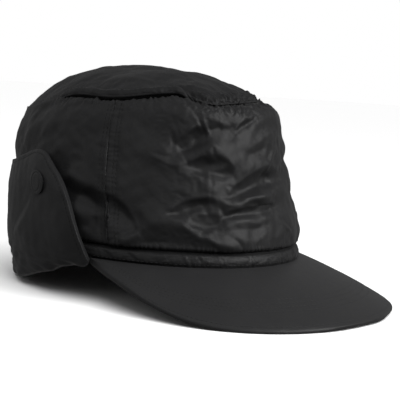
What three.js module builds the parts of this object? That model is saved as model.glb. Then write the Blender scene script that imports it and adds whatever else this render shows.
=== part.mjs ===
// A padded winter cap of plain nylon: a tall soft crown on a rolled rim, a stiff peak in front, and
// one ear and neck flap, folded up round the sides and the back and held by a snap at each tip.
// Millimetres. +Z is up, -Y is the way the wearer looks and -X is the wearer's right. The cap rests
// on Z = 0 with the turned fold of its flap and the front edge of its peak.
// An angle round the cap is 0 at the front, 90 at the wearer's left and -90 at the wearer's right.
import * as THREE from 'three';
import { mergeVertices } from 'three/addons/utils/BufferGeometryUtils.js';

const gap = 0.3;                  // between neighbouring pieces

// The rim, and how the crown's outline changes above it
const rimHeight = 29.2;           // the rim's seam above the surface
const rimCentre = 29.16;          // the rim's middle behind the middle of the whole cap
const outlines = [
  { height: 0, halfLength: 104.9, halfWidth: 90.5, shiftBack: 0 },
  { height: 0.5, halfLength: 103.9, halfWidth: 85.9, shiftBack: 12.1 },
  { height: 1, halfLength: 92.3, halfWidth: 72.9, shiftBack: 14.5 },
];
const roundness = 2.08;           // exponent of the outlines: 2 is an ellipse
const wallHeight = 100.5;         // rim seam to the shoulder, at the sides
const frontRise = 2.7;            // how much higher the shoulder is at the front, and lower behind
const backDrop = 7;               // how much lower it is still, behind
const backAngles = [95, 140];     // it drops between these
const padding = 6;                // thickness of the padded wall
const sideSeam = 76;              // angle of the seams between the front and back panels
const meanRadius = 92;            // turns an angle into a length along the wall
const lowestOutline = -0.13;      // share of the height below which what hangs goes straight down
const highestOutline = 1.05;
const seamLip = 1;                // how far the wall stands out at the top seam
const seamLipReach = 5;
const shoulderBulge = 2.2;        // how far the wall stands out in front, below that seam
const bulgeBelow = 10;
const bulgeReach = 9;
const bulgeAngles = [40, 75];     // it fades out between these
const bandTuck = 2;               // and above the roll round the rim
const bandTuckReach = 4;
const quietReach = 8;             // the folds fade out this close to a seam

// The crown's top panel
const domeHeight = 26.5;
const domeFlatness = 2.3;         // exponent of the dome's profile
const backFlatness = 3.2;         // and behind
const dropFlatness = 4;           // exponent at which the lower shoulder dies out towards the middle
const foldFlatness = 12;          // and at which the top folds die out towards its rim
const topRadius = 82;             // mean radius of its outline
const seamLift = [                // how far the top seam lies above the shoulder
  { angle: -125, lift: 0 },
  { angle: -112, lift: 2 },
  { angle: -97, lift: 3.8 },
  { angle: -80, lift: 2 },
  { angle: -70, lift: 3.3 },
  { angle: -59, lift: 5.6 },
  { angle: -50, lift: 6.8 },
  { angle: -46, lift: 6.6 },
  { angle: -42, lift: 5 },
  { angle: -38, lift: 2.6 },
  { angle: -34, lift: 0.8 },
  { angle: -30, lift: 0.2 },
  { angle: -19, lift: 1.6 },
  { angle: 0, lift: 3 },
  { angle: 18, lift: 4 },
  { angle: 45, lift: 3 },
  { angle: 80, lift: 2 },
  { angle: 97, lift: 3.8 },
  { angle: 112, lift: 2 },
  { angle: 125, lift: 0 },
];

// The welt: its size along the seam, and the height and the number of its puckers
const weltSizes = [
  { angle: -120, size: 0.6 },
  { angle: -108, size: 1 },
  { angle: -46, size: 1 },
  { angle: -35, size: 0.6 },
  { angle: 60, size: 0.6 },
  { angle: 80, size: 1 },
  { angle: 130, size: 1 },
  { angle: 145, size: 0.6 },
];
const weltPucker = 1.2;
const weltPuckers = 30;
const puckerAbove = 2.5;          // only the top of its section is puckered
const weltFoot = 1;               // and what lies lower than this doesn't grow with its size

// The roll round the rim
const bandHeight = 8.5;
const bandInset = 1.2;            // its foot lies this far inside the crown's outline
const bandPuff = 1.6;

// The peak
const peakReach = 77;             // rim to front edge, in the middle
const peakEnd = 85.5;             // angle where it runs out on the rim
const peakFullness = 6.7;         // exponents of its outline: how long it stays wide
const peakTaper = 1.22;
const peakSlope = 24.47;          // degrees below level, in the middle, of the lines under it
const peakEndSlope = 5.2;         // more at its ends
const peakArch = 6.9;             // how far it arches above these lines
const peakArchStart = 0.5;        // lines shorter than this share of the longest arch less
const peakSpread = 0.34;          // how far its straight lines fan out with the rim
const peakThickness = 3.2;
const peakTuck = 4;               // how far it goes in under the roll
const peakEdgeRound = 0.7;

// The ear and neck flap
const flapThickness = 3.6;
const flapLegOut = -1;            // outer face of the leg that hangs from the rim
const flapTurn = 6;               // height of the turned fold
const flapGape = 11;              // how far its free front edges stand away from the crown
const flapGapeReach = 18;         // degrees behind the front edge over which it closes
const flapGapeHeights = [-8, 25]; // heights between which the edge opens
const flapTipHeights = [40, 66];  // and between which it closes again towards the snap
const flapTipClosing = 0.4;
const pressReach = 10;            // above and in front of the flap, the wall swells out again over these
const pressTurn = 12;
const flapProfile = [             // outer face of the flap, out from the crown's outline
  { height: -32, out: 7.2 },
  { height: 0, out: 6.8 },
  { height: 10, out: 5.2 },
  { height: 20, out: 3 },
  { height: 30, out: 1.6 },
  { height: 42, out: 0.8 },
  { height: 66, out: 0.5 },
];
const flapFrontEdge = [
  { angle: 83.4, height: -4.3 },
  { angle: 84, height: 5.4 },
  { angle: 84.8, height: 17.5 },
  { angle: 85.8, height: 27.9 },
  { angle: 88.4, height: 40.8 },
  { angle: 92.3, height: 51.3 },
  { angle: 97.3, height: 58.5 },
];
const flapTopEdge = [
  { angle: 97.3, height: 58.5 },
  { angle: 101, height: 64.4 },
  { angle: 105.6, height: 66.4 },
  { angle: 111.4, height: 65.2 },
  { angle: 117.1, height: 61.9 },
  { angle: 130, height: 56 },
  { angle: 150, height: 52 },
  { angle: 180, height: 50 },
];
const flapFold = [
  { angle: 83.4, height: -4.3 },
  { angle: 87.7, height: -7 },
  { angle: 95, height: -8.6 },
  { angle: 105.8, height: -15.1 },
  { angle: 118.9, height: -21 },
  { angle: 130, height: -26 },
  { angle: 146, height: -rimHeight },
  { angle: 180, height: -rimHeight },
];
const flapLegStart = 87.5;        // the hanging leg starts clear of the peak's end
const flapEdgeRound = 0.8;
const flapSpacing = 1.25;         // exponent that sets its columns closer near the front
const turnShare = 0.9;            // most of the way from the fold to the rim that the turn may take

// The snaps
const snapAngle = 104;
const snapHeight = 44.6;
const snapRadius = 8;
const snapRim = 0.4;              // thickness at its edge
const snapCrown = 0.8;            // and how much more in the middle

// Folds and creases of the crown wall: a line of angles and heights above the rim's seam, how far it
// stands out (in, where it is negative) and half its width
const folds = [
  { angle: [-96, -84, -73, -66], height: [46, 43, 37, 26], out: -3.4, width: 5 },
  { angle: [-91, -81, -75], height: [40, 31, 23], out: 2.6, width: 7 },
  { angle: [-73, -54], height: [13, 33], out: 1.8, width: 6 },
  { angle: [-54, -26], height: [33, 12], out: 2, width: 6 },
  { angle: [-53, -47, -34], height: [34, 38, 44], out: -3, width: 4.5 },
  { angle: [-41, -29, -1], height: [31, 36, 40], out: -3, width: 4.5 },
  { angle: [-33, -26, 2], height: [47, 43, 50], out: 2.6, width: 4.5 },
  { angle: [-30, -28, -19, 10], height: [52, 47, 53, 60], out: -3.6, width: 4.5 },
  { angle: [-44, -31, -24], height: [64, 70, 61], out: -2.4, width: 5 },
  { angle: [-59, -45, -33], height: [71, 69, 76], out: 1.8, width: 5 },
  { angle: [-50, -39, -32], height: [73, 82, 88], out: -2.8, width: 5 },
  { angle: [-20, -10], height: [88, 97], out: -2.2, width: 4 },
  { angle: [-12, 12], height: [76, 84], out: 1.6, width: 9 },
  { angle: [15, 2], height: [82, 64], out: -1.8, width: 4 },
  { angle: [0, 12], height: [30, 18], out: 1.6, width: 5 },
  { angle: [24, 40, 48], height: [10, 26, 47], out: 2.6, width: 6 },
  { angle: [20, 34], height: [40, 58], out: -2.4, width: 5 },
  { angle: [58, 70], height: [24, 60], out: -2, width: 6 },
  { angle: [44, 56], height: [88, 70], out: -2, width: 5 },
  { angle: [-112, -118], height: [98, 62], out: -2, width: 6 },
  { angle: [-132, -130], height: [96, 70], out: -2, width: 6 },
  { angle: [112, 120], height: [98, 66], out: -2, width: 6 },
  { angle: [142, 146], height: [94, 66], out: -2, width: 7 },
  { angle: [168, 164], height: [94, 64], out: -2, width: 7 },
];
const topFolds = [
  { angle: [-42, -52, -60], share: [0.97, 0.8, 0.6], out: -2.6, width: 6 },
  { angle: [-12, -16], share: [0.96, 0.6], out: -2, width: 6 },
  { angle: [14, 10], share: [0.96, 0.7], out: -1.8, width: 6 },
  { angle: [-100, -96], share: [0.95, 0.7], out: -1.6, width: 7 },
  { angle: [62, 70], share: [0.96, 0.7], out: -1.8, width: 7 },
  { angle: [128, 136], share: [0.96, 0.7], out: -1.8, width: 7 },
  { angle: [-150, -146], share: [0.96, 0.7], out: -1.8, width: 7 },
];

const degree = Math.PI / 180;
const steps = (count) => Array.from({ length: count + 1 }, (_, i) => i / count);
const mix = THREE.MathUtils.lerp;

// Value of one column of a table at a value of another, in straight stretches
function lookUp(table, column, at, key) {
  const last = table.length - 1;
  if (at >= table[last][key]) return table[last][column];
  const next = Math.max(1, table.findIndex((row) => row[key] > at));
  const [low, high] = [table[next - 1], table[next]];
  const share = Math.max(0, (at - low[key]) / (high[key] - low[key]));
  return mix(low[column], high[column], share);
}

// Size of the crown's outline at a share of its height: a smooth curve through the three outlines
function outlineAt(share, column) {
  const [rim, middle, top] = outlines.map((row) => row[column]);
  const low = (1 - share) * (1 - 2 * share);
  const high = share * (2 * share - 1);
  return rim * low + middle * (1 - low - high) + top * high;
}

// Point of an oval at an angle, in the plane
function oval(halfLength, halfWidth, angle) {
  const across = Math.sin(angle * degree);
  const along = Math.cos(angle * degree);
  const reach = (Math.abs(across) ** roundness + Math.abs(along) ** roundness) ** (-1 / roundness);
  return [halfWidth * across * reach, -halfLength * along * reach];
}

// Height of the shoulder, where the wall turns in to the dome
const signed = (angle) => ((angle + 540) % 360) - 180;
const behind = (angle) => THREE.MathUtils.smoothstep(Math.abs(signed(angle)), ...backAngles);
const shoulder = (angle) => wallHeight + frontRise * Math.cos(angle * degree) - backDrop * behind(angle);

// Height of the top panel above its rim, at a share of the way out from its middle
const flatness = (angle) => mix(domeFlatness, backFlatness, behind(angle));
const domeRise = (angle, share, rise) => rise * (1 - share ** flatness(angle));

// Share of the way out at which the top seam lies on the dome
const liftAt = (angle) => lookUp(seamLift, 'lift', signed(angle), 'angle');
const shareAt = (angle, above) => (1 - above / domeHeight) ** (1 / flatness(angle));
const seamShare = (angle) => shareAt(angle, liftAt(angle));
const topSeam = (angle) => shoulder(angle) + liftAt(angle);

// Point of the dome at an angle and a share of the way out, an inset below its surface
function domePoint(angle, share, inset) {
  const { halfLength, halfWidth, shiftBack } = outlines[2];
  const [x, y] = oval((halfLength - inset) * share, (halfWidth - inset) * share, angle);
  const drop = backDrop * behind(angle) * share ** dropFlatness;
  const rim = wallHeight + frontRise * share * Math.cos(angle * degree) - drop;
  const height = rimHeight + rim + domeRise(angle, share, domeHeight - inset);
  return new THREE.Vector3(x, rimCentre + shiftBack + y, height);
}

// Point at an angle and a height above the rim's seam, a distance outside the crown's outline
function crownPoint(angle, height, out) {
  const share = THREE.MathUtils.clamp(height / shoulder(angle), lowestOutline, highestOutline);
  const halfLength = outlineAt(share, 'halfLength') + out;
  const halfWidth = outlineAt(share, 'halfWidth') + out;
  const [x, y] = oval(halfLength, halfWidth, angle);
  return new THREE.Vector3(x, rimCentre + outlineAt(share, 'shiftBack') + y, rimHeight + height);
}

// Point of the crown's skin: on the dome where the height is above the shoulder
function skinPoint(angle, height, out) {
  const above = height - shoulder(angle);
  if (above <= 0) return crownPoint(angle, height, out);
  return domePoint(angle, shareAt(angle, above), -out);
}

// How far the listed folds move the cloth at a place (u, v), both in millimetres along the cloth
function foldRelief(list, u, v) {
  let relief = 0;
  const place = new THREE.Vector2(u, v);
  for (const fold of list) {
    let nearest = Infinity;
    for (let i = 1; i < fold.line.length; i++) {
      const stretch = fold.line[i].clone().sub(fold.line[i - 1]);
      const along = place.clone().sub(fold.line[i - 1]).dot(stretch) / stretch.lengthSq();
      const foot = fold.line[i - 1].clone().addScaledVector(stretch, THREE.MathUtils.clamp(along, 0, 1));
      nearest = Math.min(nearest, foot.distanceTo(place));
    }
    relief += fold.out * Math.exp(-((nearest / fold.width) ** 2));
  }
  return relief;
}

const wallFolds = folds.map((fold) => ({
  ...fold,
  line: fold.angle.map((angle, i) => new THREE.Vector2(angle * degree * meanRadius, fold.height[i])),
}));
const domeFolds = topFolds.map((fold) => ({
  ...fold,
  line: fold.angle.map((angle, i) => {
    const [x, y] = oval(outlines[2].halfLength * fold.share[i], outlines[2].halfWidth * fold.share[i], angle);
    return new THREE.Vector2(x, y);
  }),
}));

// Outer face of the flap at an angle and a height, out from the crown's outline: its front edges gape
function flapOut(angle, height) {
  const away = Math.abs(angle) - lookUp(flapFrontEdge, 'angle', height, 'height');
  const opens = THREE.MathUtils.smoothstep(height, ...flapGapeHeights);
  const closes = flapTipClosing * THREE.MathUtils.smoothstep(height, ...flapTipHeights);
  const gape = flapGape * (opens - closes) * Math.exp(-((away / flapGapeReach) ** 2));
  return lookUp(flapProfile, 'out', height, 'height') + gape;
}

// How far the flap presses the padded wall in under it
function pressed(angle, height) {
  const edge = lookUp(flapTopEdge, 'height', Math.abs(angle), 'angle');
  const front = flapFrontEdge[0].angle;
  const below = 1 - THREE.MathUtils.smoothstep(height, edge, edge + pressReach);
  const behind = THREE.MathUtils.smoothstep(Math.abs(angle), front, front + pressTurn);
  return below * behind * Math.min(0, flapOut(angle, height) - flapThickness - 2 * gap);
}

// The padded wall is drawn in above the roll, and is fullest in front, below the top seam
function wallRelief(angle, height) {
  const belowTop = topSeam(angle) - height;
  const aboveBand = height - bandHeight;
  const lip = seamLip * Math.exp(-((belowTop / seamLipReach) ** 2));
  const drawnIn = bandTuck * Math.exp(-((aboveBand / bandTuckReach) ** 2));
  const inFront = 1 - THREE.MathUtils.smoothstep(Math.abs(signed(angle)), ...bulgeAngles);
  const bulge = shoulderBulge * inFront * Math.exp(-(((belowTop - bulgeBelow) / bulgeReach) ** 2));
  const quiet = THREE.MathUtils.smoothstep(Math.min(belowTop, aboveBand), 0, quietReach);
  const relief = quiet * foldRelief(wallFolds, signed(angle) * degree * meanRadius, height);
  return relief + bulge + lip + pressed(signed(angle), height) - drawnIn;
}

const nylon = (shade) => new THREE.MeshStandardMaterial({ color: shade, roughness: 0.5, metalness: 0 });

// A named mesh of points and three-cornered faces; points that fall together are made one
function closedMesh(name, points, faces, shade) {
  const geometry = new THREE.BufferGeometry();
  geometry.setAttribute('position', new THREE.Float32BufferAttribute(points.flatMap((p) => p.toArray()), 3));
  geometry.setIndex(faces);
  const merged = mergeVertices(geometry, 0.001);
  const index = merged.index.array;
  const kept = [];
  for (let i = 0; i < index.length; i += 3) {
    const [a, b, c] = index.slice(i, i + 3);
    if (a !== b && b !== c && c !== a) kept.push(a, b, c);
  }
  merged.setIndex(kept);
  merged.computeVertexNormals();
  const mesh = new THREE.Mesh(merged, nylon(shade));
  mesh.name = name;
  return mesh;
}

// A wall between an outer and an inner grid of points, in rows from below and columns by angle
function wallBetween(name, outer, inner, shade, goesRound) {
  const rows = outer.length;
  const columns = outer[0].length;
  const points = [...outer.flat(), ...inner.flat()];
  const out = (row, column) => row * columns + (column % columns);
  const into = (row, column) => rows * columns + out(row, column);
  const faces = [];
  const quad = (a, b, c, d) => faces.push(a, b, c, a, c, d);
  const spans = goesRound ? columns : columns - 1;
  for (let c = 0; c < spans; c++) {
    for (let r = 0; r < rows - 1; r++) {
      quad(out(r, c), out(r, c + 1), out(r + 1, c + 1), out(r + 1, c));
      quad(into(r, c), into(r + 1, c), into(r + 1, c + 1), into(r, c + 1));
    }
    quad(into(0, c), into(0, c + 1), out(0, c + 1), out(0, c));
    quad(out(rows - 1, c), out(rows - 1, c + 1), into(rows - 1, c + 1), into(rows - 1, c));
  }
  for (let r = 0; r < rows - 1 && !goesRound; r++) {
    quad(into(r, 0), out(r, 0), out(r + 1, 0), into(r + 1, 0));
    quad(out(r, columns - 1), into(r, columns - 1), into(r + 1, columns - 1), out(r + 1, columns - 1));
  }
  return closedMesh(name, points, faces, shade);
}

// A ring with a closed section: sectionAt gives its corners, turning from the inside over the bottom out
function ring(name, angles, sectionAt, shade) {
  const sections = angles.map(sectionAt);
  const corners = sections[0].length;
  const faces = [];
  for (let c = 0; c < angles.length; c++) {
    const [here, next] = [c * corners, ((c + 1) % angles.length) * corners];
    for (let i = 0; i < corners; i++) {
      const j = (i + 1) % corners;
      faces.push(here + i, next + i, next + j, here + i, next + j, here + j);
    }
  }
  return closedMesh(name, sections.flat(), faces, shade);
}

// The panels' columns. The top panel and the welt have the same ones, so that they meet the wall
const halfSlit = gap / 2 / meanRadius / degree;
const spread = (from, to, columns) => steps(columns).map((share) => mix(from, to, share));
const frontColumns = spread(-sideSeam + halfSlit, sideSeam - halfSlit, 40);
const backColumns = spread(sideSeam + halfSlit, 360 - sideSeam - halfSlit, 34);
const allColumns = [...frontColumns, ...backColumns.slice(1, -1)];

// One panel of the crown wall
function wallPanel(name, angles, rows) {
  const grid = (outAt) => steps(rows).map((share) => angles.map((angle) => {
    const height = mix(bandHeight + gap, topSeam(angle), share);
    return skinPoint(angle, height, outAt(angle, height));
  }));
  const outer = grid((angle, height) => wallRelief(angle, height));
  const inner = grid(() => -padding);
  return wallBetween(name, outer, inner, '#2c2c2e', false);
}

function crownTop() {
  const shares = [1, 0.94, 0.83, 0.68, 0.48, 0.25, 0];
  const grid = (inset, relief) => shares.map((share) => allColumns.map((angle) => {
    const point = domePoint(angle, share * seamShare(angle), inset);
    point.z += gap + relief(point, share);
    return point;
  }));
  const middle = rimCentre + outlines[2].shiftBack;
  const folded = ({ x, y }, share) => foldRelief(domeFolds, x, y - middle) * (1 - share ** foldFlatness);
  const outer = grid(0, (point, share) => (share < 1 ? folded(point, share) : 0));
  const inner = grid(padding, () => 0);
  return wallBetween('crown_top', outer, inner, '#2a2a2c', true);
}

// The rolled edge of the top panel, which lies on it along the seam: small and puckered in front.
// out is measured from the seam, and up from the panel's surface
function topWelt() {
  const section = [
    { out: -3, up: 2 * gap },
    { out: -1.2, up: 2 * gap },
    { out: -0.2, up: 1.5 },
    { out: -0.7, up: 3.2 },
    { out: -2.5, up: 4 },
    { out: -4.6, up: 3.4 },
    { out: -6.5, up: 1.7 },
    { out: -7.1, up: 2 * gap },
  ];
  return ring('top_welt', allColumns, (angle) => {
    const seam = seamShare(angle);
    const size = lookUp(weltSizes, 'size', signed(angle), 'angle');
    const pucker = weltPucker * (1 - size) * Math.cos(angle * degree * weltPuckers);
    return section.map(({ out, up }) => {
      const share = seam + size * out / topRadius;
      const place = domePoint(angle, share, 0);
      place.z = domePoint(angle, Math.min(seam, share), 0).z + (up > weltFoot ? up * size : up);
      if (up > puckerAbove) place.z += pucker;
      return place;
    });
  }, '#303032');
}

function rimBand() {
  const section = [
    { out: -padding, up: bandHeight },
    { out: -padding, up: 0 },
    { out: -bandInset, up: 0 },
    { out: 0.8 * bandPuff - bandInset, up: 0.18 * bandHeight },
    { out: bandPuff - bandInset, up: 0.5 * bandHeight },
    { out: 0.5 * bandPuff - bandInset, up: 0.85 * bandHeight },
    { out: -0.8 * bandPuff - bandInset, up: bandHeight },
  ];
  const angles = spread(-180, 180, 60).slice(1);
  const sectionAt = (angle) => section.map(({ out, up }) => crownPoint(angle, up, out));
  return ring('rim_band', angles, sectionAt, '#303032');
}

// The peak: straight lines that leave the rim, fan out and slope down, with a rounded outline
function peak() {
  const shares = [-peakTuck, 0, 0.12, 0.28, 0.46, 0.64, 0.82, 0.95, 1];
  const columns = steps(32).map((share) => Math.sin((share - 0.5) * Math.PI));
  const side = (under) => shares.map((share) => columns.map((across) => {
    const angle = peakEnd * across;
    const reach = peakReach * (1 - Math.abs(across) ** peakFullness) ** (1 / peakTaper);
    const slope = (peakSlope + peakEndSlope * across ** 2) * degree;
    const fan = peakSpread * angle * degree;
    const round = share === 1 ? peakEdgeRound : 0;
    const drop = under ? gap + peakThickness - round : gap + round;
    if (share < 0) return crownPoint(angle, -drop, share);
    const run = reach * share;
    const arch = peakArch * (1 - (1 - share) ** 2) * Math.min(1, reach / peakReach / peakArchStart);
    return crownPoint(angle, 0, 0).add(new THREE.Vector3(
      run * Math.cos(slope) * Math.sin(fan),
      -run * Math.cos(slope) * Math.cos(fan),
      -run * Math.sin(slope) + arch - drop,
    ));
  }));
  const flip = (grid) => grid.map((row) => [...row].reverse());
  return wallBetween('peak', flip(side(false)), flip(side(true)), '#29292b', false);
}

// Height of the turned fold: it is lower where the flap hangs less far below the rim
const turnHeight = (foldHeight) => Math.min(flapTurn, turnShare * (-gap - foldHeight));

// Angle and height on the flap: share runs from its front edge to the middle of the back, rise from
// the top of the turned fold to the free edge
function flapPlace(share, rise) {
  const foldHeight = lookUp(flapFold, 'height', mix(flapFold[0].angle, 180, share), 'angle');
  const low = foldHeight + turnHeight(foldHeight);
  const edgeLow = flapFrontEdge[0].height + turnHeight(flapFrontEdge[0].height);
  const edgeHeight = mix(edgeLow, flapTopEdge[0].height, rise);
  const edgeAngle = lookUp(flapFrontEdge, 'angle', edgeHeight, 'height');
  const topHeight = lookUp(flapTopEdge, 'height', mix(flapTopEdge[0].angle, 180, share), 'angle');
  return { angle: mix(edgeAngle, 180, share), height: mix(low, topHeight, rise) };
}

// The hanging leg and the turned fold: across runs from the leg to the outer part of the flap, and up
// is in turn heights above the fold. The outside skin is the lower one
const foldOutside = [
  { across: 0, up: 1 },
  { across: 0.08, up: 0.3 },
  { across: 0.3, up: 0 },
  { across: 0.7, up: 0 },
  { across: 0.92, up: 0.3 },
];
const foldInside = [
  { across: 0, up: 1 },
  { across: 0.1, up: 0.8 },
  { across: 0.35, up: 0.66 },
  { across: 0.65, up: 0.66 },
  { across: 0.9, up: 0.8 },
];

// One flap for both sides: its columns run from the left front edge round the back to the right one
function earNeckFlap() {
  const rises = steps(7);
  const half = steps(20).map((share) => share ** flapSpacing);
  const left = half.map((share) => ({ side: 1, share }));
  const right = half.slice(0, -1).reverse().map((share) => ({ side: -1, share }));
  const columns = [...left, ...right];
  const skin = (fold, legOut, inset, round) => {
    const legTop = ({ side, share }) => crownPoint(side * mix(flapLegStart, 180, share), -gap, legOut);
    const rows = [columns.map(legTop)];
    for (const { across, up } of fold) {
      rows.push(columns.map(({ side, share }) => {
        const foldHeight = lookUp(flapFold, 'height', mix(flapFold[0].angle, 180, share), 'angle');
        const start = mix(flapLegStart, flapFold[0].angle, across ** 2);
        const height = foldHeight + up * turnHeight(foldHeight) * (up < 1 ? 1 : 0.97);
        const angle = mix(start, 180, share);
        return crownPoint(side * angle, height, mix(legOut, flapOut(angle, height) - inset, across));
      }));
    }
    for (const rise of rises) {
      const roundOff = rise === 1 ? round : 0;
      rows.push(columns.map(({ side, share }) => {
        const { angle, height } = flapPlace(share, rise);
        return crownPoint(side * angle, height, flapOut(angle, height) - inset + roundOff);
      }));
    }
    return rows;
  };
  const outside = skin(foldOutside, flapLegOut - flapThickness, 0, -flapEdgeRound);
  const inside = skin(foldInside, flapLegOut, flapThickness, flapEdgeRound);
  return wallBetween('ear_neck_flap', outside, inside, '#262628', false);
}

// A cloth-covered snap: a low dome that lies on the flap's outer face
function snapCap(name, side) {
  const rings = [
    { share: 1, up: 0 },
    { share: 1, up: 0.45 },
    { share: 0.8, up: 0.9 },
    { share: 0.45, up: 1 },
    { share: 0, up: 1 },
  ];
  const turns = steps(16).slice(0, -1).map((turn) => side * turn);
  const face = (share, turn, out) => {
    const around = 2 * Math.PI * turn;
    const angle = snapAngle + snapRadius * share * Math.cos(around) / meanRadius / degree;
    const height = snapHeight + snapRadius * share * Math.sin(around);
    return crownPoint(side * angle, height, flapOut(angle, height) + 2 * gap + out);
  };
  const raised = (up) => snapRim + snapCrown * up;
  const outer = rings.map(({ share, up }) => turns.map((turn) => face(share, turn, raised(up))));
  const inner = rings.map(({ share }) => turns.map((turn) => face(share, turn, 0)));
  return wallBetween(name, outer, inner, '#2a2a2c', true);
}

const cap = new THREE.Group();
cap.add(wallPanel('crown_front', frontColumns, 16));
cap.add(wallPanel('crown_back', backColumns, 9));
cap.add(crownTop());
cap.add(topWelt());
cap.add(rimBand());
cap.add(peak());
cap.add(earNeckFlap());
cap.add(snapCap('snap_cap_right', -1));
cap.add(snapCap('snap_cap_left', 1));

export default cap;
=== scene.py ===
import math

import bpy
import numpy as np
from mathutils import Matrix, Vector
from mathutils.bvhtree import BVHTree


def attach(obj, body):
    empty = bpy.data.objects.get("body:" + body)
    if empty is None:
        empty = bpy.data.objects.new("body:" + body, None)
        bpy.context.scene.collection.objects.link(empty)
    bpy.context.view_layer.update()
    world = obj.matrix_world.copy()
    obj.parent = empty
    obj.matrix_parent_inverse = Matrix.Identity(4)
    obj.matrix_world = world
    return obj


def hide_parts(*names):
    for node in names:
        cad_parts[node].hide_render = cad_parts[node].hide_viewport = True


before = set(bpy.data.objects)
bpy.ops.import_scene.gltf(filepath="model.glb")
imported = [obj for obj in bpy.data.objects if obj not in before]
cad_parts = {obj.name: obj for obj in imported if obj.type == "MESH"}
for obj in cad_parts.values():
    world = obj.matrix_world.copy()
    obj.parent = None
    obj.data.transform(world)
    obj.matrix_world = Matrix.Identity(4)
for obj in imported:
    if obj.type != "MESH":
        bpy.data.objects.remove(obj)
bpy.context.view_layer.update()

# Camera
# It looks at the cap from the front of the wearer's right side, from a little above. Its place is
# given from the middle of the rim, and it is aimed so that the cap fills the picture.
rim_middle = Vector((0, 0.02916, 0.0292))
view_round = math.radians(56.04)      # from straight in front towards the wearer's right
view_up = math.radians(8.63)
view_roll = math.radians(3.34)
view_distance = 0.8177
picture = 400                         # pixels on a side
rim_pixel = (157.05, 242.86)          # where the rim's middle falls in the picture
pixels_per_slope = 1127.3
sensor = 36

back = Vector((
    -math.sin(view_round) * math.cos(view_up),
    -math.cos(view_round) * math.cos(view_up),
    math.sin(view_up),
))
level = Vector((math.cos(view_round), -math.sin(view_round), 0))
upright = back.cross(level)
right = level * math.cos(view_roll) + upright * math.sin(view_roll)
up = upright * math.cos(view_roll) - level * math.sin(view_roll)
aim = right * (picture / 2 - rim_pixel[0]) + up * (rim_pixel[1] - picture / 2)
backwards = (back - aim / pixels_per_slope).normalized()
sideways = up.cross(backwards).normalized()
turn = Matrix((sideways, backwards.cross(sideways), backwards)).transposed().to_4x4()
bpy.ops.object.camera_add()
camera = bpy.context.object
camera.name = "camera"
camera.matrix_world = Matrix.Translation(rim_middle + back * view_distance) @ turn
camera.data.sensor_width = sensor
camera.data.lens = sensor * pixels_per_slope / picture
camera.data.clip_start = 0.05
bpy.context.scene.camera = camera

# Floor and light
# A plain white studio floor and a broad soft light overhead. A softbox in front of the cap gives its
# folds their gloss, and two weak ones stand beside and behind the wearer's right shoulder.
white = (0.93, 0.93, 0.93, 1)
bpy.ops.object.select_all(action="DESELECT")
bpy.ops.mesh.primitive_circle_add(vertices=96, radius=9, fill_type="NGON")
floor = bpy.context.object
floor.name = "studio_floor"
paper = bpy.data.materials.new("studio_paper")
paper.use_nodes = True
paper.node_tree.nodes["Principled BSDF"].inputs["Base Color"].default_value = white
paper.node_tree.nodes["Principled BSDF"].inputs["Roughness"].default_value = 0.9
floor.data.materials.append(paper)
floor.visible_glossy = False
floor.visible_diffuse = False
lit_height = 0.04                     # the softboxes face this far above the rim


def softbox(name, size, power, round_to, rise, distance):
    """A square area light that faces the cap, placed by its angles round the cap and above the floor."""
    bpy.ops.object.light_add(type="AREA")
    light = bpy.context.object
    light.name = name
    light.data.size = size
    light.data.energy = power
    angle = math.radians(round_to)
    height = math.radians(rise)
    way = Vector((math.sin(angle) * math.cos(height), -math.cos(angle) * math.cos(height), math.sin(height)))
    target = rim_middle + Vector((0, 0, lit_height))
    facing_cap = way.to_track_quat("Z", "Y").to_matrix().to_4x4()
    light.matrix_world = Matrix.Translation(target + way * distance) @ facing_cap


softbox("front_softbox", size=0.8, power=8.5, round_to=8, rise=29, distance=1.3)
softbox("side_softbox", size=0.9, power=1.8, round_to=-95, rise=35, distance=1.6)
softbox("back_softbox", size=0.9, power=0.7, round_to=-165, rise=30, distance=1.6)
bpy.ops.object.light_add(type="SUN")
overhead = bpy.context.object
overhead.name = "overhead_light"
overhead.rotation_euler = (math.radians(20), math.radians(-12), 0)
overhead.data.angle = math.radians(70)
overhead.data.energy = 3.3
overhead.visible_glossy = False

world = bpy.data.worlds.new("studio")
world.use_nodes = True
bpy.context.scene.world = world
sky = world.node_tree.nodes
room = sky["Background"]
room.inputs["Color"].default_value = (0.5, 0.5, 0.5, 1)
room.inputs["Strength"].default_value = 0.34
wall_paint = sky.new("ShaderNodeBackground")
wall_paint.inputs["Color"].default_value = (1, 1, 1, 1)
seen = sky.new("ShaderNodeLightPath")
either = sky.new("ShaderNodeMixShader")
link = world.node_tree.links.new
link(seen.outputs["Is Camera Ray"], either.inputs["Fac"])
link(room.outputs[0], either.inputs[1])
link(wall_paint.outputs[0], either.inputs[2])
link(either.outputs[0], sky["World Output"].inputs["Surface"])
bpy.context.scene.view_settings.view_transform = "Standard"


# Crown wall
# Two padded nylon panels, sewn together at the wearer's sides with a row of topstitching on each
# side of the seam. The nylon is loose on its wadding, so the front panel has crushed, sharp folds.
mm = 0.001
wall_height = 100.5                   # rim seam to shoulder at the sides; sizes on the cloth are in mm
front_rise = 2.7
back_drop = 7                         # the shoulder is lower behind, where it has dropped between two angles
back_angles = (95, 140)
band_height = 8.5                     # of the roll round the rim
half_lengths = (104.9, 103.9, 92.3)   # of the crown's outline: at the rim, half way up, at the shoulder
half_widths = (90.5, 85.9, 72.9)
setbacks = (0, 12.1, 14.5)
roundness = 2.08
mean_radius = 92                      # turns an angle into a length along the wall
side_seam = 76
heart = np.array((0, 0.04, 0.07))     # in the middle of the hollow, in metres
weld = 0.01                           # points nearer than this are one point
sharp_edge = math.radians(55)         # edges sharper than this are creased
swelling_frames = 16
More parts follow.
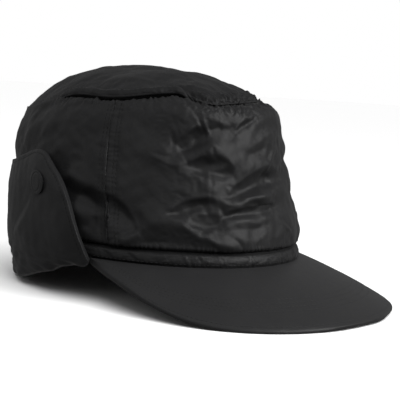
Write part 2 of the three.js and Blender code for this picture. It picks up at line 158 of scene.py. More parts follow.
# Angles round the cap, and how far the top seam climbs over the shoulder there
seam_lift = (
    (-125, -112, -97, -80, -70, -59, -50, -46, -42, -38, -34, -30, -19, 0, 18, 45, 80, 97, 112, 125),
    (0, 2, 3.8, 2, 3.3, 5.6, 6.8, 6.6, 5, 2.6, 0.8, 0.2, 1.6, 3, 4, 3, 2, 3.8, 2, 0),
)


def round_off(x, low, high):
    """Smooth step from 0 at low to 1 at high."""
    t = np.clip((x - low) / (high - low), 0, 1)
    return t * t * (3 - 2 * t)


def outline(share, sizes):
    """Size of the crown's outline at a share of its height: a smooth curve through its three sizes."""
    rim, middle, shoulder = sizes
    low = (1 - share) * (1 - 2 * share)
    high = share * (2 * share - 1)
    return rim * low + middle * (1 - low - high) + shoulder * high


def share_up(angle, height):
    """Share of the wall's height; what hangs below the rim goes straight down."""
    return np.clip(height / shoulder_height(angle), -0.13, 1.05)


def shoulder_height(angle):
    """Height of the shoulder above the rim, at an angle in degrees."""
    dropped = back_drop * round_off(np.abs(angle), *back_angles)
    return wall_height + front_rise * np.cos(np.radians(angle)) - dropped


def cap_places(points):
    """Angles round the cap, in degrees from the front to the wearer's left, and heights above the rim."""
    across = points[:, 0] / mm
    along = (rim_middle.y - points[:, 1]) / mm
    height = (points[:, 2] - rim_middle.z) / mm
    angle = np.arctan2(across, along)
    for _ in range(4):
        share = share_up(np.degrees(angle), height)
        ahead = (along + outline(share, setbacks)) / outline(share, half_lengths)
        angle = np.arctan2(across / outline(share, half_widths), ahead)
    return np.degrees(angle), height


def cap_point(angle, height, out):
    """Point in metres at an angle and a height, a distance outside the crown's outline."""
    turned = math.radians(angle)
    share = share_up(angle, height)
    across, along = math.sin(turned), math.cos(turned)
    reach = (abs(across) ** roundness + abs(along) ** roundness) ** (-1 / roundness)
    x = (outline(share, half_widths) + out) * across * reach * mm
    y = (outline(share, setbacks) - (outline(share, half_lengths) + out) * along * reach) * mm
    return Vector((x, rim_middle.y + y, rim_middle.z + height * mm))


def seam_height(angle):
    """Height of the top seam above the rim."""
    return shoulder_height(angle) + np.interp(angle, *seam_lift)


def take_copy(node, name, levels, crease=0.85):
    """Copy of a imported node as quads, rounded by subdivision; its sharp edges stay where they are."""
    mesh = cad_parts[node].data.copy()
    mesh.materials.clear()
    piece = bpy.data.objects.new(name, mesh)
    bpy.context.scene.collection.objects.link(piece)
    choose(piece)
    bpy.ops.mesh.customdata_custom_splitnormals_clear()
    bpy.ops.object.mode_set(mode="EDIT")
    bpy.ops.mesh.select_all(action="SELECT")
    bpy.ops.mesh.remove_doubles(threshold=weld * mm)
    bpy.ops.mesh.tris_convert_to_quads()
    bpy.ops.mesh.select_mode(type="EDGE")
    bpy.ops.mesh.select_all(action="DESELECT")
    bpy.ops.mesh.edges_select_sharp(sharpness=sharp_edge)
    bpy.ops.transform.edge_crease(value=crease)
    bpy.ops.object.mode_set(mode="OBJECT")
    bpy.ops.object.shade_smooth()
    subdivide(piece, levels)
    return piece


def choose(piece):
    """Select one object and make it the active one."""
    bpy.ops.object.select_all(action="DESELECT")
    piece.select_set(True)
    bpy.context.view_layer.objects.active = piece


def subdivide(piece, levels):
    """Round a piece off by subdivision."""
    choose(piece)
    smooth = piece.modifiers.new("smooth", "SUBSURF")
    smooth.levels = levels
    smooth.render_levels = levels
    bpy.ops.object.modifier_apply(modifier=smooth.name)


def read(piece, what="co"):
    """Places, or normals, of a piece's points."""
    values = np.empty(len(piece.data.vertices) * 3)
    piece.data.vertices.foreach_get(what, values)
    return values.reshape(-1, 3)


def write(piece, points):
    """Move a piece's points to new places."""
    piece.data.vertices.foreach_set("co", points.ravel())
    piece.data.update()


def facing(piece):
    """1 where the cloth faces out of the cap, 0 where it faces the hollow, between them at its edges."""
    away = read(piece) - heart
    away /= np.linalg.norm(away, axis=1)[:, None]
    return np.clip(((read(piece, "normal") * away).sum(1) - 0.1) / 0.35, 0, 1)


def raise_cloth(piece, relief):
    """Move the outer cloth out by a relief in millimetres."""
    write(piece, read(piece) + read(piece, "normal") * (relief * facing(piece) * mm)[:, None])


def curve(line, steps=6):
    """A smooth line through a few points."""
    points = [np.array(point, float) for point in line]
    if len(points) == 2:
        return points
    knots = [2 * points[0] - points[1], *points, 2 * points[-1] - points[-2]]
    smooth = []
    for before, start, end, after in zip(knots, knots[1:], knots[2:], knots[3:]):
        for t in np.arange(steps) / steps:
            smooth.append(0.5 * (
                2 * start + (end - before) * t + (2 * before - 5 * start + 4 * end - after) * t ** 2
                + (3 * start - before - 3 * end + after) * t ** 3
            ))
    return [*smooth, knots[-2]]


def off_line(u, v, line):
    """Distances from a line, positive on its left, and how far along it the nearest places are,
    from 0 to 1."""
    pieces = np.array([np.hypot(*(b - a)) for a, b in zip(line, line[1:])])
    starts = np.concatenate(([0], np.cumsum(pieces)))
    nearest = np.full(len(u), np.inf)
    side = np.ones(len(u))
    share = np.zeros(len(u))
    for a, b, start, length in zip(line, line[1:], starts, pieces):
        du, dv = b - a
        t = np.clip(((u - a[0]) * du + (v - a[1]) * dv) / length ** 2, 0, 1)
        off_u = u - a[0] - t * du
        off_v = v - a[1] - t * dv
        distance = np.hypot(off_u, off_v)
        closer = distance < nearest
        nearest = np.where(closer, distance, nearest)
        side = np.where(closer, np.where(du * off_v - dv * off_u >= 0, 1, -1), side)
        share = np.where(closer, (start + t * length) / starts[-1], share)
    return nearest * side, share


def face_relief(u, v, faces):
    """Relief of flat faces between creases. A face is given by points along its middle, each with half
    its width, and by its tilt, above 0 where the cloth stands out on the left of that line."""
    relief = np.zeros(len(u))
    for points, tilt in faces:
        away, share = off_line(u, v, curve([point[:2] for point in points]))
        half = np.interp(share, np.linspace(0, 1, len(points)), [point[2] for point in points])
        fade = np.clip(np.minimum(share, 1 - share) / 0.1, 0, 1)
        steps = away / half
        flat = steps * (1 + np.abs(steps) ** 6) ** (-1 / 6)
        relief += tilt * half * fade * flat * np.exp(-np.maximum(np.abs(steps) - 1, 0) / 1.4)
    return relief


def lumps(u, v, size, seed):
    """Smooth random unevenness between about -1 and 1, of a wavelength."""
    dice = np.random.default_rng(seed)
    total = np.zeros(len(u))
    waves = 14
    for _ in range(waves):
        way, start = dice.uniform(0, math.tau, 2)
        length = size * dice.uniform(0.7, 1.4)
        total += np.sin((u * math.cos(way) + v * math.sin(way)) * math.tau / length + start)
    return total / math.sqrt(waves)


def let_swell(piece, loose, growth, limit):
    """Let loose cloth swell and buckle over its wadding: a simulation with pressure and a little extra
    cloth, held where loose is 0. No point moves further than the limit."""
    before = read(piece)
    sewn = piece.vertex_groups.new(name="sewn")
    for level in range(11):
        held = np.nonzero(np.round((1 - loose) * 10) == level)[0]
        sewn.add(held.tolist(), level / 10, "REPLACE")
    cloth = piece.modifiers.new("cloth", "CLOTH")
    cloth.settings.quality = 5
    cloth.settings.bending_stiffness = 0.1
    cloth.settings.use_pressure = True
    cloth.settings.uniform_pressure_force = 4
    cloth.settings.shrink_min = -growth
    cloth.settings.vertex_group_mass = sewn.name
    cloth.settings.effector_weights.gravity = 0
    cloth.collision_settings.use_collision = False
    for step in range(1, swelling_frames):
        bpy.context.scene.frame_set(step)
    choose(piece)
    bpy.ops.object.modifier_apply(modifier=cloth.name)
    bpy.context.scene.frame_set(1)
    piece.vertex_groups.clear()
    moved = read(piece) - before
    length = np.linalg.norm(moved, axis=1)[:, None]
    write(piece, before + moved * np.minimum(1, limit * mm / np.maximum(length, 1e-9)))


# The folds as the flat faces between their creases: points of (angle, height, half the width), and
# the tilt of the face. A line that runs to the wearer's left, with a tilt above 0, looks down
wall_faces = [
    ([(-49, 76, 2.5), (-44, 80, 4.5), (-40, 86, 5), (-37.5, 89, 3.5)], 0.35),
    ([(-39.5, 94, 1), (-37, 88, 1.4), (-35, 83, 1)], 0.5),
    ([(-38, 89, 3), (-33.5, 91, 3.5), (-29, 92.5, 2)], 0.18),
    ([(-60, 71, 1), (-55, 68.5, 1.8), (-50, 66.5, 3), (-45, 70.5, 4), (-39.5, 76, 4), (-34, 84, 3)], -0.28),
    ([(-45, 63.5, 1), (-39, 66.5, 4), (-34, 66.5, 6), (-28.5, 64, 5), (-23, 61, 1)], 0.4),
    ([(-43, 60, 1.5), (-34, 57.5, 2.5), (-23, 54.5, 2.5)], -0.3),
    ([(-29.5, 45.5, 1.5), (-23, 50, 3.5), (-15, 55.5, 5), (-4.5, 59.5, 5), (10, 57, 3)], 0.45),
    ([(-29.5, 51, 1), (-28, 47, 1.8), (-26, 46, 1)], 0.45),
    ([(-33, 44, 1.5), (-28.5, 42.5, 3.5), (-21, 45.5, 3.5), (-10.5, 48, 4), (1.5, 51, 3.5)], -0.35),
    ([(-54.5, 33, 1), (-50, 36, 2.5), (-44, 40, 3.2), (-38, 42, 3), (-33, 42, 1)], 0.45),
    ([(-45.5, 32, 1.5), (-41, 30.5, 3.5), (-37, 30, 3.8), (-31, 31.5, 1.5)], 0.4),
    ([(-54, 30.5, 1.5), (-49, 31, 2.5), (-45, 25, 3), (-38.5, 21, 3.5), (-26, 13.5, 2.5)], -0.32),
    ([(-70, 12, 1), (-61, 18, 5), (-53, 20, 8), (-44, 17, 6), (-34, 11.5, 1)], 0.25),
    ([(-31, 34.5, 1.5), (-21, 36.5, 2.3), (-9.5, 37.5, 2.3), (1, 39.5, 1.5)], 0.5),
    ([(-33, 30.5, 1), (-21.5, 32, 2), (-4, 33.5, 2)], -0.3),
    ([(-35, 22.5, 1), (-29.5, 25.5, 2), (-22, 27, 2.5), (-13, 26, 1.5)], 0.32),
    ([(-22.5, 87, 1), (-17, 93, 2.6), (-8, 97.5, 1)], 0.45),
    ([(-17, 73.5, 2.5), (-6, 79, 4), (10, 85, 4)], 0.2),
    ([(-4, 63, 1.5), (0.5, 69.5, 2.2), (6.5, 76, 1.5)], 0.3),
    ([(-1, 30, 1), (3, 26, 1.8), (8, 21, 1)], -0.4),
    ([(-96, 49, 3), (-86, 43, 5), (-79, 39, 5.5), (-71, 35.5, 5), (-67, 28.5, 3), (-65, 22.5, 1)], 0.4),
    ([(-88, 18, 2), (-85.5, 27, 6), (-86, 35, 6), (-88, 40, 2)], 0.5),
    ([(-75, 11.5, 1.2), (-70, 16, 2.2), (-64, 21, 1.4)], -0.6),
    ([(-83, 26.5, 1), (-76.5, 27, 2), (-71, 28.5, 1)], 0.25),
    ([(-92, 64, 0.8), (-89, 64, 1.2), (-86, 61.5, 0.8)], 0.3),
    ([(-92.5, 55.5, 0.8), (-90, 56.5, 1), (-87, 56, 0.8)], 0.3),
    ([(-84, 75, 0.8), (-79.5, 73.5, 1.1), (-74.5, 74.5, 0.8)], 0.3),
    ([(20, 10, 2), (32, 24, 5), (46, 50, 3)], 0.35),
    ([(18, 40, 2), (28, 50, 4), (38, 62, 2)], 0.3),
    ([(14, 66, 2), (26, 72, 5), (40, 70, 3)], 0.3),
    ([(50, 28, 2), (58, 40, 4), (64, 58, 2)], 0.3),
    ([(42, 90, 1), (50, 82, 4), (60, 68, 2)], -0.25),
    ([(-102, 97, 2), (-110, 82, 4), (-114, 62, 2)], 0.08),
    ([(-120, 94, 2), (-124, 80, 4), (-126, 64, 2)], 0.12),
    ([(-144, 90, 2), (-141, 76, 4), (-142, 60, 2)], 0.2),
    ([(106, 96, 2), (112, 84, 4), (116, 66, 2)], 0.22),
    ([(134, 92, 2), (139, 78, 4), (140, 62, 2)], 0.2),
    ([(166, 92, 2), (161, 76, 4), (160, 60, 2)], 0.2),
]
fold_strength = 1.1
before_swelling = 0.55                  # the part of that strength that is there before the cloth swells
lap = 0.9                               # the panels run on this far under the welt and the roll
side_lap = 0.2                          # and this far past each other
seam_rows = (-6.5, -4.4, 2.1, 4.4)      # topstitching, by its distance behind each side seam
# Free edge of the flap, as (angle, height): up its front, over its tip, and round to the back
flap_edge = [
    (83.4, -4.3), (84, 5.4), (84.8, 17.5), (85.8, 27.9), (88.4, 40.8), (92.3, 51.3), (97.3, 58.5),
    (101, 64.4), (105.6, 66.4), (111.4, 65.2), (117.1, 61.9), (130, 56), (150, 52), (180, 50),
]
flap_top = tuple(zip(*flap_edge[6:]))   # the part of it that looks up
flap_front = 84                         # and about where its front edge stands


def gathers(along, away, pitch, height, reach, seed):
    """Small uneven gathers along a seam, round on top and sharp between, which fade out away from it."""
    zero = along * 0
    phase = math.pi * along / pitch
    phase += 1.1 * lumps(along, zero, 5 * pitch, seed) + 0.5 * lumps(along, away, 3 * pitch, seed + 1)
    size = np.clip(0.6 + 0.5 * lumps(along, zero, 4 * pitch, seed + 2), 0.1, 1.3)
    return height * size * (np.abs(np.cos(phase)) - 0.6) * np.exp(-(np.maximum(away, 0) / reach) ** 2)


def crushed(u, v, size, seed):
    """Irregular crumples, round on top with sharp creases between, of a size."""
    return np.abs(lumps(u, v, size, seed)) + 0.5 * np.abs(lumps(u, v, size / 2, seed + 1)) - 0.9


def behind(angle):
    """1 behind, where the top seam is only a soft crease."""
    return round_off(np.abs(angle), 98, 118)


def in_front(angle):
    """1 in front, where the top seam is sunk and puckered, 0 where it is a smooth ridge."""
    return round_off(angle, -47, -38) * (1 - round_off(angle, 66, 80))


def off_side_seam(angle):
    """Distance behind the nearer side seam, in mm."""
    return (np.abs(angle) - side_seam) * math.radians(mean_radius)


def wall_folds(piece):
    """Crushed folds, quiet near the seams."""
    angle, height = cap_places(read(piece))
    along = np.radians(angle) * mean_radius
    quiet = round_off(np.minimum(seam_height(angle) - height, height - band_height), 0, 7)
    faces = []
    for points, tilt in wall_faces:
        faces.append(([(math.radians(a) * mean_radius, z, half) for a, z, half in points], tilt))
    return quiet * face_relief(along, height, faces)


def wall_relief(piece, seed):
    """Gathers under the top seam and above the rim, the topstitched side seams, and unevenness."""
    angle, height = cap_places(read(piece))
    along = np.radians(angle) * mean_radius
    below_top = seam_height(angle) - height
    above_band = height - band_height
    quiet = round_off(np.minimum(below_top, above_band), 0, 7)
    front = in_front(angle)
    ridge = (1 - front) * (1 - behind(angle))
    scallops = gathers(along, below_top, 4.6, 1.6, 3.5, 11)
    scallops += 1.1 * crushed(along, height, 13, 17) * np.exp(-(below_top / 7) ** 2)
    relief = ridge * (scallops - 1.2 * np.exp(-(below_top / 1.2) ** 2))
    puckers = gathers(along + 0.6 * below_top, below_top, 4.3, 0.6, 2.5, 13)
    puckers += crushed(along, height, 9, 14) * np.exp(-(below_top / 5.5) ** 2)
    relief += front * (puckers - 1.2 * np.exp(-(below_top / 2.6) ** 2))
    relief += gathers(along, above_band, 3.2, 1.7, 3.4, seed + 2)
    relief += 2.1 * np.exp(-(above_band / 9) ** 2) - 3.4 * np.exp(-(above_band / 1.5) ** 2)
    off_seam = off_side_seam(angle)
    for row in seam_rows:
        relief -= 0.3 * np.exp(-((off_seam - row) / 0.8) ** 2)
    relief += gathers(height, np.abs(off_seam + 1) - 4.5, 3.6, 0.35, 2.2, seed + 4)
    uneven = 0.3 * lumps(along, height, 26, seed + 6) + 0.12 * lumps(along, height, 9, seed + 7)
    return relief + quiet * uneven


def under_flap(angle, height):
    """1 where the flap covers the wall."""
    top = np.interp(np.abs(angle), *flap_top)
    return round_off(np.abs(angle), flap_front - 6, flap_front) * (1 - round_off(height, top, top + 6))


def wall_panel(node, name, levels, growth, seed):
    """One padded panel of the wall. Its edges run on a little under their neighbours."""
    piece = take_copy(node, name, levels)
    angle, height = cap_places(read(piece))
    edge = np.minimum(seam_height(angle) - height, height - band_height)
    off_seam = off_side_seam(angle)
    calm = 0.8 * np.exp(-((off_seam + 8) / 30) ** 2)
    loose = facing(piece) * round_off(np.minimum(edge, np.abs(off_seam) - 3), 1, 6)
    raise_cloth(piece, before_swelling * wall_folds(piece))
    let_swell(piece, loose * (1 - under_flap(angle, height)) * (1 - calm), growth, 2.2)
    subdivide(piece, 1)
    raise_cloth(piece, (fold_strength - before_swelling) * wall_folds(piece))
    raise_cloth(piece, wall_relief(piece, seed))
    angle, height = cap_places(read(piece))
    points = read(piece)
    at_top = height > seam_height(angle) - 0.5
    at_foot = height < band_height + 0.7
    at_side = np.abs(off_side_seam(angle)) < 0.4
    points[:, 2] += lap * mm * (at_top * 1.0 - at_foot)
    points[:, 1] -= side_lap * mm * np.sign(off_seam.mean()) * at_side
    write(piece, points)
    return piece


class Tone:
    """A socket of a material. Sums and products of tones add Math nodes, and node() adds any other."""

    def __init__(self, tree, socket=None):
        self.tree = tree
        self.socket = socket

    def node(self, kind, settings, inputs, result=0):
        """Add a node: its type, its settings, and the values or links of its sockets."""
        made = self.tree.nodes.new("ShaderNode" + kind)
        for name, value in settings.items():
            setattr(made, name, value)
        for name, value in inputs.items():
            if isinstance(value, Tone):
                self.tree.links.new(value.socket, made.inputs[name])
            else:
                made.inputs[name].default_value = value
        return Tone(self.tree, made.outputs[result])

    def math(self, operation, *terms):
        return self.node("Math", {"operation": operation}, dict(enumerate(terms)))

    def __add__(self, other):
        return self.math("ADD", self, other)

    def __mul__(self, other):
        return self.math("MULTIPLY", self, other)

    __radd__ = __add__
    __rmul__ = __mul__


thread_pitch = 0.55                     # two threads of the weave
weave_height = 0.02


def nylon(name, dark, light, roughness, gloss, crumple, runs):
    """Woven nylon. Its threads run round the cap and up on the walls, or straight over flat pieces.
    dark and light are its shades, and crumple is the height of its finest wrinkles in mm."""
    material = bpy.data.materials.new(name)
    material.use_nodes = True
    shader = material.node_tree.nodes["Principled BSDF"]
    shader.inputs["Specular IOR Level"].default_value = gloss
    shader.inputs["Sheen Weight"].default_value = 0.04
    shader.inputs["Sheen Roughness"].default_value = 0.4
    tones = Tone(material.node_tree)
    place = tones.node("TexCoord", {}, {}, "Object")
    x, y, z = (tones.node("SeparateXYZ", {}, {"Vector": place}, axis) for axis in "XYZ")
    if runs == "round":
        ahead = y * -1 + rim_middle.y + setbacks[1] * mm
        warp = tones.math("ARCTAN2", x, ahead) * (mean_radius * mm)
        weft = z
    else:
        warp, weft = x, y
    per_thread = math.tau / (thread_pitch * mm)
    weave = tones.math("SINE", warp * per_thread) * tones.math("SINE", weft * per_thread)
    broad = tones.node("TexNoise", {}, {"Vector": place, "Scale": 45, "Detail": 3}, "Fac")
    fine = tones.node("TexNoise", {}, {"Vector": place, "Scale": 260, "Detail": 4, "Roughness": 0.6}, "Fac")
    wear = tones.node("TexNoise", {}, {"Vector": place, "Scale": 900, "Detail": 2}, "Fac")
    height = weave * (weave_height * mm) + broad * (crumple * 2 * mm) + fine * (crumple * 0.7 * mm)
    bump = tones.node("Bump", {}, {"Height": height, "Distance": 1.0, "Strength": 1.0}, "Normal")
    shade = broad * 0.6 + wear * 0.4
    colour = tones.node("Mix", {"data_type": "RGBA"}, {"Factor": shade, "A": (*dark, 1), "B": (*light, 1)}, 2)
    link = material.node_tree.links.new
    link(colour.socket, shader.inputs["Base Color"])
    link((fine * 0.14 + broad * 0.1 + (roughness - 0.12)).socket, shader.inputs["Roughness"])
    link(bump.socket, shader.inputs["Normal"])
    return material


def dress(piece, material, node):
    """Finish a piece: its cloth, the node it stands for, and the body it rides on."""
    piece.data.materials.append(material)
    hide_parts(node)
    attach(piece, "root")


def places_between(places, run, start, end):
    """The places at two lengths along a line of places."""
    return [np.array([np.interp(at, run, axis) for axis in places.T]) for at in (start, end)]


def sew(name, rows, cloths, yarn):
    """Rows of stitches on cloths, of one stitch copied. A row is a list of places in front of the cloth,
    each with the way towards it."""
    bpy.ops.object.select_all(action="DESELECT")
    bpy.ops.mesh.primitive_uv_sphere_add(segments=8, ring_count=6, radius=0.5)
    pattern = bpy.context.object
    bpy.ops.object.mode_set(mode="EDIT")
    bpy.ops.transform.resize(value=(stitch_length * mm, stitch_thickness * mm, stitch_thickness * mm))
    bpy.ops.object.mode_set(mode="OBJECT")
    shape = read(pattern)
    pattern_faces = [np.array(face.vertices) for face in pattern.data.polygons]
    bpy.data.objects.remove(pattern)
    state = bpy.context.evaluated_depsgraph_get()
    trees = [BVHTree.FromObject(cloth, state) for cloth in cloths]
    points = []
    faces = []
    for row in rows:
        hits = [min((tree.ray_cast(*ray) for tree in trees), key=lambda hit: hit[3] or 9) for ray in row]
        hits = [hit for hit in hits if hit[0]]
        places = np.array([hit[0] for hit in hits])
        run = np.concatenate(([0], np.cumsum(np.linalg.norm(np.diff(places, axis=0), axis=1))))
        for start in np.arange(0, run[-1] - stitch_length * mm, stitch_pitch * mm):
            first, last = places_between(places, run, start, start + stitch_length * mm)
            normal = np.array(hits[np.searchsorted(run, start)][1])
            ahead = (last - first) / np.linalg.norm(last - first)
            turned = shape @ np.array([ahead, np.cross(normal, ahead), normal])
            faces += [(face + len(points) * len(shape)).tolist() for face in pattern_faces]
            points.append(turned + (first + last) / 2)
    mesh = bpy.data.meshes.new(name)
    mesh.from_pydata(np.concatenate(points).tolist(), [], faces)
    mesh.polygons.foreach_set("use_smooth", [True] * len(faces))
    stitches = bpy.data.objects.new(name, mesh)
    bpy.context.scene.collection.objects.link(stitches)
    mesh.materials.append(yarn)
    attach(stitches, "root")


def towards(angle, height):
    """A place in front of the cloth at an angle and a height, and the way towards it."""
    place = cap_point(angle, height, 40)
    return place, (cap_point(angle, height, 0) - place).normalized()


crown_nylon = nylon("crown_nylon", (0.006, 0.006, 0.0063), (0.011, 0.011, 0.0115), 0.48, 0.4, 0.06, "round")
front_panel = wall_panel("crown_front", "front_panel", levels=2, growth=0.018, seed=1)
back_panel = wall_panel("crown_back", "back_panel", levels=2, growth=0.01, seed=21)
for panel, node in ((front_panel, "crown_front"), (back_panel, "crown_back")):
    dress(panel, crown_nylon, node)

thread = nylon("thread", (0.004, 0.004, 0.0042), (0.007, 0.007, 0.0072), 0.6, 0.3, 0.01, "straight")
pale_thread = nylon("pale_thread", (0.014, 0.014, 0.0145), (0.022, 0.022, 0.0225), 0.5, 0.4, 0.01, "straight")
stitch_pitch = 3.1
stitch_length = 2.3
stitch_thickness = 0.42
seam_paths = []
for side in (-1, 1):
    for row in seam_rows:
        angle = side * (side_seam + math.degrees(row / mean_radius))
        seam_paths.append([towards(angle, height) for height in np.arange(10, seam_height(angle) - 2, 0.8)])
sew("side_seam_stitches", seam_paths, [front_panel, back_panel], thread)


# Top panel
# A padded oval of the same nylon that closes the crown. It is cut a little large, so it stands up in
# a low dome with soft radial folds, and it is gathered where it is sewn to the wall.
top_faces = [
    ([(-46, -6, 1), (-40, -18, 2.5), (-35, -30, 1.5)], 0.7),
    ([(-42, -2, 1), (-36, -14, 2), (-28, -27, 1)], 0.5),
    ([(-43, 51, 1), (-58, 42, 3), (-68, 38, 1)], 0.12),
    ([(-34, 12, 1), (-46, 6, 3), (-56, 3, 1)], 0.12),
    ([(-26, -6, 1), (-36, -14, 4), (-42, -28, 2)], 0.12),
    ([(-18, -2, 1), (-24, -18, 4), (-30, -36, 2)], -0.14),
    ([(4, -20, 2), (2, -42, 4)], 0.12),
    ([(24, -12, 2), (34, -34, 4)], 0.12),
    ([(44, 20, 2), (60, 14, 4)], 0.12),
    ([(40, 70, 2), (54, 84, 4)], 0.12),
    ([(-30, 90, 2), (-40, 110, 4)], 0.12),
    ([(4, 100, 2), (4, 122, 4)], 0.12),
]
top_centre = rim_middle.y / mm + setbacks[2]
top_radius = 82
dome_height = 26.5
flatness_in_front = 2.3               # exponent of the dome's profile
flatness_behind = 3.2


def seam_share(angle):
    """Share of the way out over the dome at which the top seam lies."""
    flatness = np.interp(round_off(np.abs(angle), *back_angles), (0, 1), (flatness_in_front, flatness_behind))
    return (1 - np.interp(angle, *seam_lift) / dome_height) ** (1 / flatness)


def inside_seam(points):
    """Distance inside the top seam over the dome, in mm, and the angle round the cap."""
    x, y = points[:, 0] / mm, points[:, 1] / mm
    angle = np.degrees(np.arctan2(x / half_widths[2], (top_centre - y) / half_lengths[2]))
    share = np.hypot(x / half_widths[2], (y - top_centre) / half_lengths[2])
    return (seam_share(angle) - share) * top_radius, angle


def top_relief(piece, seed):
    """Soft folds, and gathers along the seam, which is sunk in front."""
    points = read(piece)
    x, y = points[:, 0] / mm, points[:, 1] / mm
    inside, angle = inside_seam(points)
    front = in_front(angle)
    along = np.radians(angle) * mean_radius
    relief = face_relief(x, y, top_faces) - 2.2 * np.exp(-((inside - 40) / 20) ** 2)
    puckers = gathers(along - 0.7 * inside, inside, 4.3, 0.6, 3, 13)
    puckers += 2.8 * crushed(x, y, 7, 15) * np.exp(-(inside / 9) ** 2)
    highest = 0.2 + 0.15 * np.maximum(inside, 0)
    relief += front * np.minimum(puckers - 3.2 * np.exp(-(inside / 6) ** 2), highest)
    off_welt = np.abs(inside - 7.5)
    ridge = (1 - front) * (1 - behind(angle))
    relief += ridge * (gathers(along, off_welt, 5.2, 0.35, 3.5, seed) - 0.4 * np.exp(-(off_welt / 1.1) ** 2))
    return relief + 0.3 * lumps(x, y, 30, seed + 4) + 0.1 * lumps(x, y, 9, seed + 5)


top_nylon = nylon("top_nylon", (0.006, 0.006, 0.0063), (0.010, 0.010, 0.0105), 0.55, 0.33, 0.05, "straight")
top_panel = take_copy("crown_top", "top_panel", 2)
inside, angle = inside_seam(read(top_panel))
loose = facing(top_panel) * round_off(inside, 6, 20) * round_off(top_radius - inside, 5, 30)
let_swell(top_panel, loose, 0.012, 1.3)
subdivide(top_panel, 1)
raise_cloth(top_panel, top_relief(top_panel, 41))
points = read(top_panel)
inside, angle = inside_seam(points)
tucked = 1.2 * mm * (1 - behind(angle)) * np.exp(-(np.maximum(inside, 0) / 2) ** 2)
centre = np.array((0, top_centre * mm))
inward = centre - points[:, :2]
points[:, :2] += inward / np.linalg.norm(inward, axis=1)[:, None] * tucked[:, None]
write(top_panel, points)
dress(top_panel, top_nylon, "crown_top")


# Welt
# The turned and rolled edge of the top panel, stitched down along its upper side. It is full and
# smooth along the wearer's sides, and drawn into small gathers in front.
def welt_relief(piece, seed):
    """Unevenness of the roll. In front and behind it is low, and in front it is puckered."""
    angle, height = cap_places(read(piece))
    along = np.radians(angle) * mean_radius
    front = in_front(angle)
    puckers = gathers(along + 0.8 * height, along * 0, 4.3, 2.2, 1, 13)
    uneven = 0.25 * lumps(along, height, 14, seed) + 0.1 * lumps(along, height, 5, seed + 1)
    return uneven - 0.4 + front * puckers


sunk_in_front = 3.2
sunk_behind = 3
drawn_in = 0.012                      # share of the way to the middle, where it is sunk by 3 mm
welt = take_copy("top_welt", "seam_welt", levels=3, crease=0)
raise_cloth(welt, welt_relief(welt, 51))
points = read(welt)
angle, height = cap_places(points)
sunk = sunk_in_front * in_front(angle) + sunk_behind * behind(angle)
underside = read(welt, "normal")[:, 2] < -0.3
points[:, 2] -= mm * (underside + sunk)
points[:, :2] += (centre - points[:, :2]) * (drawn_in * sunk / 3)[:, None]
write(welt, points)
dress(welt, top_nylon, "top_welt")


def over_dome(angle, inside):
    """A place above the top panel, a distance inside its seam, and the way down to it."""
    share = seam_share(angle) - inside / top_radius
    turned = math.radians(angle)
    across, along = math.sin(turned), math.cos(turned)
    reach = (abs(across) ** roundness + abs(along) ** roundness) ** (-1 / roundness) * share
    place = Vector((half_widths[2] * across * reach, top_centre - half_lengths[2] * along * reach, 250)) * mm
    return place, Vector((0, 0, -1))


ridge_inside = 3.6                    # the stitching lies this far inside the seam
ridge_row = [over_dome(angle, ridge_inside) for angle in np.arange(-180, 180, 0.6)]
sew("top_seam_stitches", [ridge_row], [top_panel, welt], pale_thread)


# Rim roll
# A narrow padded roll of nylon round the rim, stitched along its foot. The crown bulges over it, and
# it is drawn into fine upright wrinkles in front.
def roll_relief(piece, seed):
    """Fine wrinkles of the roll."""
    angle, height = cap_places(read(piece))
    along = np.radians(angle) * mean_radius
    wrinkled = round_off(-np.abs(angle + 12), -58, -34)
    fine = gathers(along + 0.3 * height, along * 0, 2.9, 0.6, 1, seed)
    creases = face_relief(along, height, [
        ([(-113, 7.5, 0.6), (-109, 5, 1), (-106, 2, 0.6)], 0.45),
        ([(-70, 7, 0.6), (-67, 4, 1), (-65, 2, 0.6)], 0.4),
        ([(-127, 7, 0.6), (-123, 4, 1), (-121, 2, 0.6)], 0.4),
    ])
    return 0.15 * crushed(along, height * 2, 14, seed + 2) + fine * (0.4 + wrinkled) + creases


roll_lap = 0.7                        # it runs on this far under the wall and the peak
foot_height = 1.4                     # of its stitching above the rim
roll = take_copy("rim_band", "rim_roll", 3)
raise_cloth(roll, roll_relief(roll, 61))
points = read(roll)
height = (points[:, 2] - rim_middle.z) / mm
points[:, 2] += roll_lap * mm * ((height > band_height - 0.4) * 1.0 - (height < 0.3))
write(roll, points)
dress(roll, crown_nylon, "rim_band")
foot_row = [towards(angle, foot_height) for angle in np.arange(-84, 84, 0.6)]
sew("rim_stitches", [foot_row], [roll], pale_thread)


# Peak
# A stiff board, covered with smooth cloth and stitched through in rows that follow its outer edge,
# with a narrow bound edge. It is sewn in under the rim roll.
peak_reach = 77
peak_end = 85.5                       # angle where it runs out on the rim
peak_slope = 24.47                    # degrees below level, in the middle
peak_end_slope = 5.2                  # more at its ends
peak_fullness = 6.7                   # exponents of its outline
peak_taper = 1.22
peak_spread = 0.34                    # how far it fans out with the rim
peak_rows = (4, 20, 24.5, 29, 33.5)   # stitching, by its distance from the edge


def over_peak(across, inside):
    """A place above the peak, a distance inside its edge; across runs from -1 to 1 over its width."""
    turned = math.radians(peak_end * across)
    slope = math.radians(peak_slope + peak_end_slope * across ** 2)
    fan = peak_spread * turned
    reach = peak_reach * (1 - abs(across) ** peak_fullness) ** (1 / peak_taper) - inside
    rim = cap_point(peak_end * across, 0, 0)
    ahead = Vector((math.sin(fan), -math.cos(fan), 0)) * reach * math.cos(slope) * mm
    return rim + ahead + Vector((0, 0, 0.1)), reach


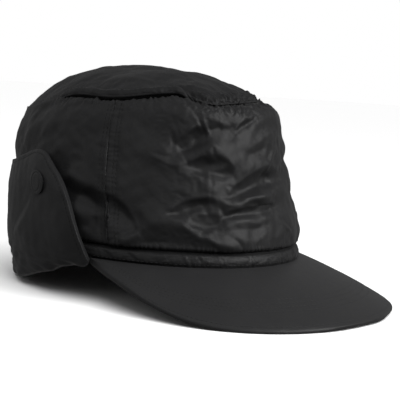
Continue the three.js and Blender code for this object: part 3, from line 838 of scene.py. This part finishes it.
def peak_relief(piece):
    """Shallow grooves along the rows of stitching, and a soft unevenness of the covered board."""
    points = read(piece)
    x, y = points[:, 0] / mm, points[:, 1] / mm
    edge = [np.array(over_peak(across, 0)[0][:2]) / mm for across in np.linspace(-0.99, 0.99, 61)]
    inside = np.abs(off_line(x, y, edge)[0])
    relief = 0.3 * lumps(x, y, 50, 81) + 0.08 * lumps(x, y, 12, 82)
    for row in peak_rows:
        relief -= 0.2 * np.exp(-((inside - row) / 0.9) ** 2)
    return relief


peak_cloth = nylon("peak_cloth", (0.011, 0.011, 0.0115), (0.017, 0.017, 0.0175), 0.44, 0.42, 0.03, "straight")
peak = take_copy("peak", "peak_board", 3)
raise_cloth(peak, peak_relief(peak))
dress(peak, peak_cloth, "peak")
peak_paths = []
for row in peak_rows:
    spots = [over_peak(across, row) for across in np.linspace(-0.93, 0.93, 220)]
    peak_paths.append([(place, Vector((0, 0, -1))) for place, reach in spots if reach > 6])
sew("peak_stitches", peak_paths, [peak], pale_thread)


# Ear and neck flap
# One padded flap for both ears and the neck. It is sewn to the rim, hangs down, turns at a soft fold
# and stands up outside the crown. Its free edge is turned in and stitched.
flap_row = 2.6                        # the stitching lies this far inside the edge
flap_outline = [np.array((math.radians(a) * mean_radius, z)) for a, z in flap_edge]


def flap_relief(piece, seed):
    """The stitched edge, soft creases, and wrinkles at the turned fold."""
    angle, height = cap_places(read(piece))
    along = np.radians(angle) * mean_radius
    inside = np.abs(off_line(np.abs(along), height, flap_outline)[0])
    relief = -0.2 * np.exp(-((inside - flap_row) / 0.9) ** 2)
    relief += face_relief(np.abs(along), height, [
        ([(177, 33, 1), (186, 21, 3), (194, 13, 3), (204, 4, 1)], -0.2),
        ([(164, 6, 1), (158, 2, 2.5), (148, 4, 1)], 0.2),
        ([(140, -1, 1), (152, -5, 2), (170, -9, 1)], 0.3),
        ([(138, 3, 1), (150, 0, 1.6), (158, 0, 1)], -0.2),
    ])
    low = 1 - round_off(height, -6, 4)
    relief += low * 0.4 * lumps(along, height * 2.4, 14, seed)
    return relief + 0.35 * lumps(along, height, 34, seed + 1) + 0.1 * lumps(along, height, 11, seed + 2)


flap_nylon = nylon("flap_nylon", (0.008, 0.008, 0.0085), (0.013, 0.013, 0.0135), 0.5, 0.4, 0.04, "round")
flap = take_copy("ear_neck_flap", "neck_flap", 3)
raise_cloth(flap, flap_relief(flap, 71))
dress(flap, flap_nylon, "ear_neck_flap")
smooth_edge = curve(flap_outline, 12)
flap_path = []
for before, here, after in zip(smooth_edge, smooth_edge[1:], smooth_edge[2:]):
    along, rise = (after - before) / np.linalg.norm(after - before)
    u, v = here + np.array((rise, -along)) * flap_row
    if v > 2:
        flap_path.append((math.degrees(u / mean_radius), v))
flap_paths = [[towards(side * angle, height) for angle, height in flap_path] for side in (-1, 1)]
sew("flap_stitches", flap_paths, [flap], thread)


# Snaps
# A low round snap cap, covered with the flap's nylon, on each tip of the flap. It is pressed through
# the flap, and the cloth is drawn down a little along a ring near its edge.
snap_ring = 6.3                       # radius of the ring
for side in ("right", "left"):
    snap = take_copy("snap_cap_" + side, "snap_button_" + side, 3)
    points = read(snap)
    from_middle = points - points.mean(0)
    normal = np.linalg.svd(from_middle, full_matrices=False)[2][2]
    radius = np.linalg.norm(from_middle - np.outer(from_middle @ normal, normal), axis=1) / mm
    ring = 0.3 * np.exp(-((radius - snap_ring) / 0.5) ** 2)
    raise_cloth(snap, -ring - 0.15 * np.exp(-(radius / 3) ** 2))
    dress(snap, flap_nylon, "snap_cap_" + side)
